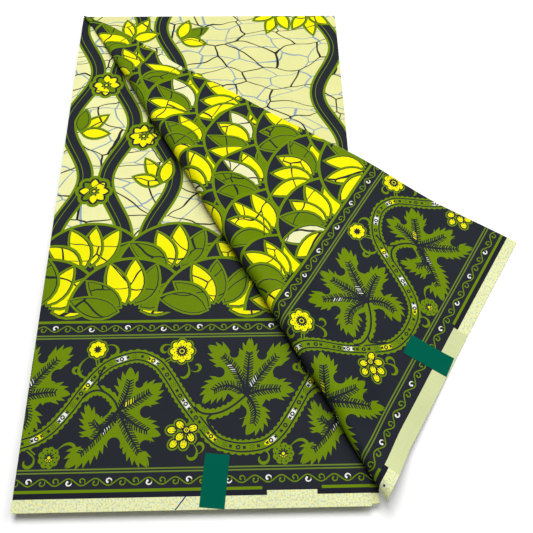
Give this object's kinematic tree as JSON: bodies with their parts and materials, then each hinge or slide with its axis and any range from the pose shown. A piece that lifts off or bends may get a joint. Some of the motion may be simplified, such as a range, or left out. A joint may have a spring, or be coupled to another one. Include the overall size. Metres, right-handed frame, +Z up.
{
  "type": "folded wax print fabric",
  "caption": "Length of bordered wax print cotton folded into a flat stack of leaves, with one front corner of the top leaf turned back over a soft fold to hang past the side.",
  "frame": {"origin": "on the surface that the stack lies on, under the middle of the whole outline", "axes": "+Z up out of the stack, +Y along the leaf from the selvedges to the fold in the middle of the cloth, +X towards the side that the turned corner hangs over"},
  "size_m": [0.4814, 0.581, 0.034],
  "materials": {
    "print": "printed cotton with a slight wax sheen, olive, yellow and cream on near-black navy",
    "leaf_edges": "edges of many printed cotton leaves, matt",
    "label": "plain green paper label, semi-matt, blank"
  },
  "bodies": {
    "root": {"folded_stack": "leaf_edges", "second_leaf": "print", "top_leaf": "print", "label_main": "label", "label_flap": "label"}
  },
  "joints": []
}
